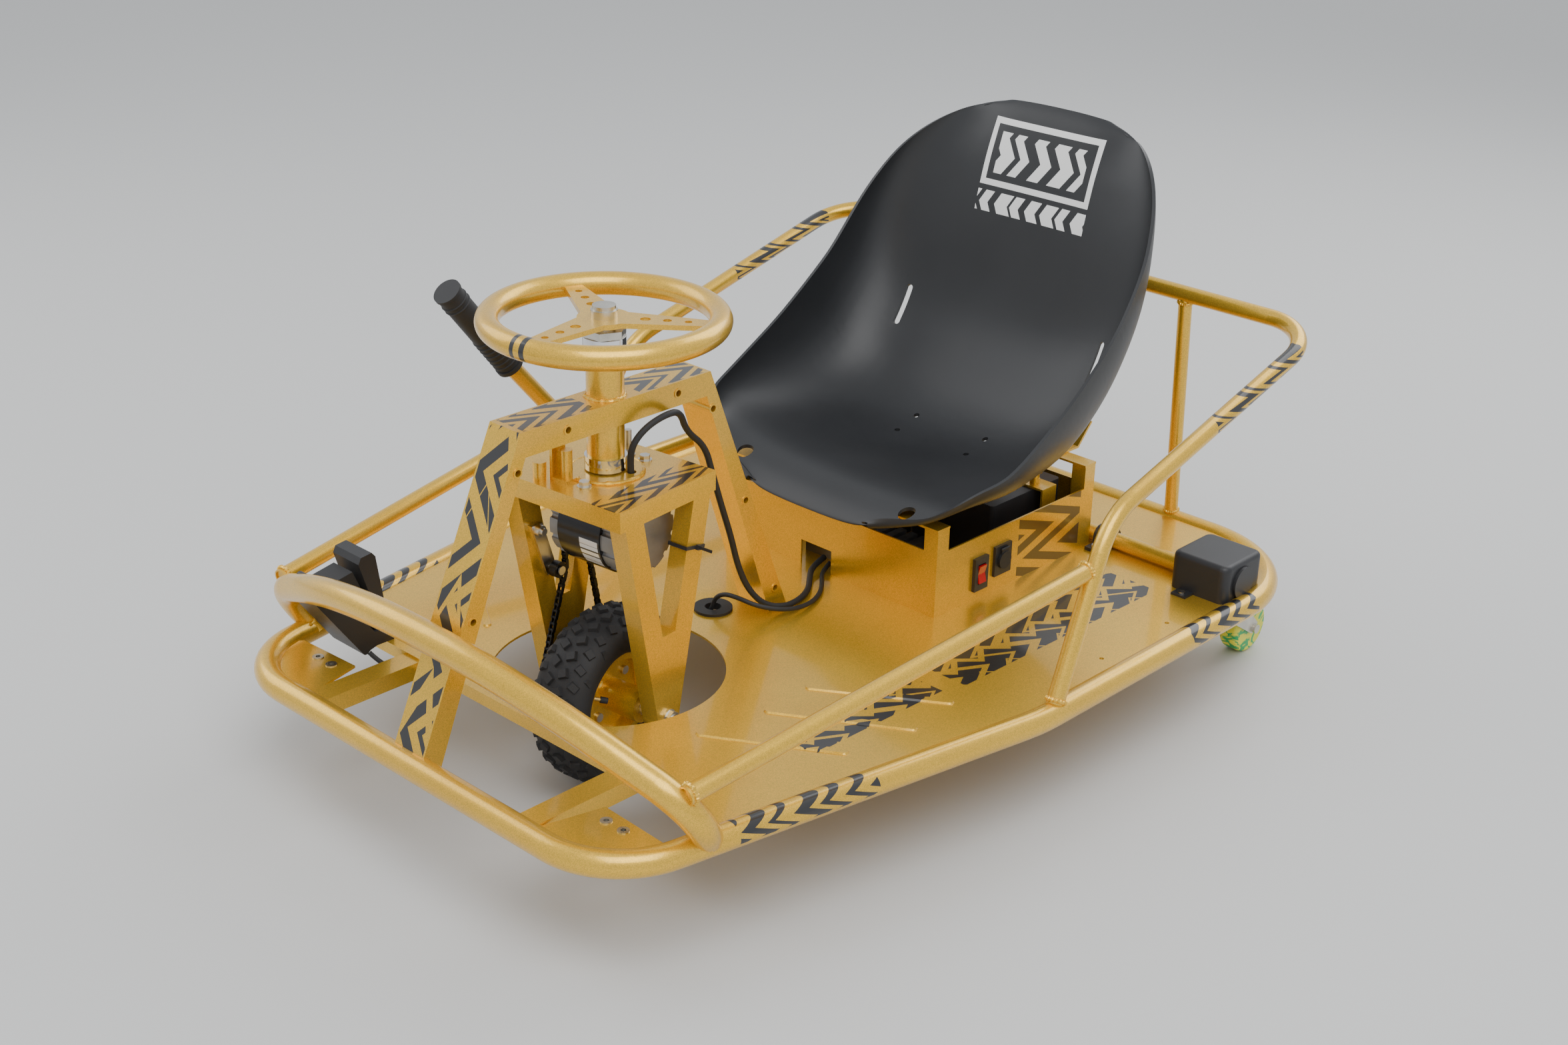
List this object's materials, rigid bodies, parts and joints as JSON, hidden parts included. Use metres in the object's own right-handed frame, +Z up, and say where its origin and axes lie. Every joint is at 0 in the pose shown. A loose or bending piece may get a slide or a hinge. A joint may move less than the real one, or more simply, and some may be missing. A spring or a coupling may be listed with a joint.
{
  "type": "electric drift kart",
  "caption": "Ride-on drift kart: tube frame and floor, steered motor fork with driven front wheel, bucket seat, hand-lever drift axle and leaning casters.",
  "frame": {"origin": "on the ground, below the middle of the overall box", "axes": "+Z up, nose towards -Y, driver's left at +X"},
  "size_m": [0.8998, 1.2188, 0.697],
  "materials": {
    "frame_gold": "metallic gloss",
    "seat_black": "satin moulded",
    "black_plastic": "moulded",
    "black_rubber": "matte",
    "tyre_rubber": "matte",
    "zinc": "zinc plated",
    "chrome": "polished",
    "chain_steel": "blackened, oiled",
    "motor_black": "gloss",
    "motor_alloy": "cast",
    "battery_case": "moulded",
    "rocker_red": "gloss",
    "caster_yellow": "cast urethane"
  },
  "bodies": {
    "chassis": {"base_rail": "frame_gold", "floor_plate": "frame_gold", "front_bars": "frame_gold", "corner_gussets": "frame_gold", "front_hoop": "frame_gold", "side_rails": "frame_gold", "side_hoop": "frame_gold", "rear_struts": "frame_gold", "steering_arch": "frame_gold", "arch_sleeves": "frame_gold", "head_tube": "frame_gold", "box_panels": "frame_gold", "corner_posts": "frame_gold", "seat_brackets": "frame_gold", "battery_clamp": "frame_gold", "headset": "chrome", "frame_screws": "zinc", "saddle_clamps": "black_plastic", "caster_covers": "black_plastic", "pedal_base": "black_plastic", "switch_housing": "black_plastic", "charge_port": "black_plastic", "floor_grommet": "black_rubber", "pedal_bellows": "black_rubber", "main_cable": "black_rubber", "throttle_cable": "black_rubber", "seat_shell": "seat_black", "batteries": "battery_case", "motor_controller": "motor_alloy"},
    "fork": {"steerer_tube": "chrome", "fork_plate": "frame_gold", "fork_legs": "frame_gold", "plate_bolts": "zinc", "stop_bracket": "frame_gold", "motor_case": "motor_black", "motor_bells": "motor_alloy", "drive_chain": "chain_steel", "chain_tensioner": "zinc", "fork_axle": "zinc", "fork_nuts": "zinc", "steering_wheel": "frame_gold", "wheel_spider": "frame_gold", "motor_cable": "black_rubber"},
    "front_wheel": {"wheel_rim": "frame_gold", "wheel_hub": "frame_gold", "front_tyre": "tyre_rubber", "wheel_sprocket": "chain_steel", "rim_bolts": "zinc"},
    "motor_rotor": {"motor_sprocket": "chain_steel"},
    "chain_roller": {"tension_roller": "chain_steel"},
    "drift_axle": {"drift_shaft": "frame_gold", "hand_lever": "frame_gold", "lever_grip": "black_rubber"},
    "caster_left": {"caster_fork_left": "zinc"},
    "caster_right": {"caster_fork_right": "zinc"},
    "roller_left": {"caster_wheel_left": "caster_yellow"},
    "roller_right": {"caster_wheel_right": "caster_yellow"},
    "pedal": {"pedal_pad": "black_plastic"},
    "rocker": {"switch_rocker": "rocker_red"},
    "port_cap": {"charge_cap": "black_rubber"}
  },
  "joints": [
    {"name": "steering", "type": "hinge", "parent": "chassis", "child": "fork", "pos_m": [0, -0.2925, 0.5], "axis": [0, 0, 1], "range_deg": [-95.8, 84.2], "deforming": ["motor_cable"]},
    {"name": "front_axle", "type": "hinge", "parent": "fork", "child": "front_wheel", "pos_m": [0, -0.2925, 0.1115], "axis": [0.9949, 0.1011, 0], "continuous": true},
    {"name": "motor_shaft", "type": "hinge", "parent": "fork", "child": "motor_rotor", "pos_m": [0, -0.2925, 0.338], "axis": [0.9949, 0.1011, 0], "continuous": true},
    {"name": "chain_roller_spin", "type": "hinge", "parent": "fork", "child": "chain_roller", "pos_m": [-0.05418, -0.32313, 0.268], "axis": [0.9949, 0.1011, 0], "continuous": true},
    {"name": "drift_lever", "type": "hinge", "parent": "chassis", "child": "drift_axle", "pos_m": [0, 0.4385, 0.156], "axis": [-1, 0, 0], "range_deg": [0, 30]},
    {"name": "swivel_left", "type": "hinge", "parent": "drift_axle", "child": "caster_left", "pos_m": [0.358, 0.511, 0.078], "axis": [0, 0.5, -0.866], "continuous": true},
    {"name": "swivel_right", "type": "hinge", "parent": "drift_axle", "child": "caster_right", "pos_m": [-0.358, 0.511, 0.078], "axis": [0, 0.5, -0.866], "continuous": true},
    {"name": "roll_left", "type": "hinge", "parent": "caster_left", "child": "roller_left", "pos_m": [0.358, 0.56, 0.037], "axis": [1, 0, 0], "continuous": true},
    {"name": "roll_right", "type": "hinge", "parent": "caster_right", "child": "roller_right", "pos_m": [-0.358, 0.56, 0.037], "axis": [1, 0, 0], "continuous": true},
    {"name": "throttle", "type": "hinge", "parent": "chassis", "child": "pedal", "pos_m": [-0.271, -0.437, 0.154], "axis": [1, 0, 0], "range_deg": [0, 16], "stiffness_Nm_per_rad": 1, "springref_deg": -11.46, "deforming": ["pedal_bellows"]},
    {"name": "power_switch", "type": "hinge", "parent": "chassis", "child": "rocker", "pos_m": [0.181, 0.182, 0.18], "axis": [0, 1, 0], "range_deg": [-8, 8]},
    {"name": "port_cap_hinge", "type": "hinge", "parent": "chassis", "child": "port_cap", "pos_m": [0.192, 0.227, 0.202], "axis": [0, -1, 0], "range_deg": [0, 110]}
  ],
  "couplings": [
    {"joint": "motor_shaft", "follows": "front_axle", "ratio": 4.3636},
    {"joint": "chain_roller_spin", "follows": "front_axle", "ratio": -4.5865}
  ]
}
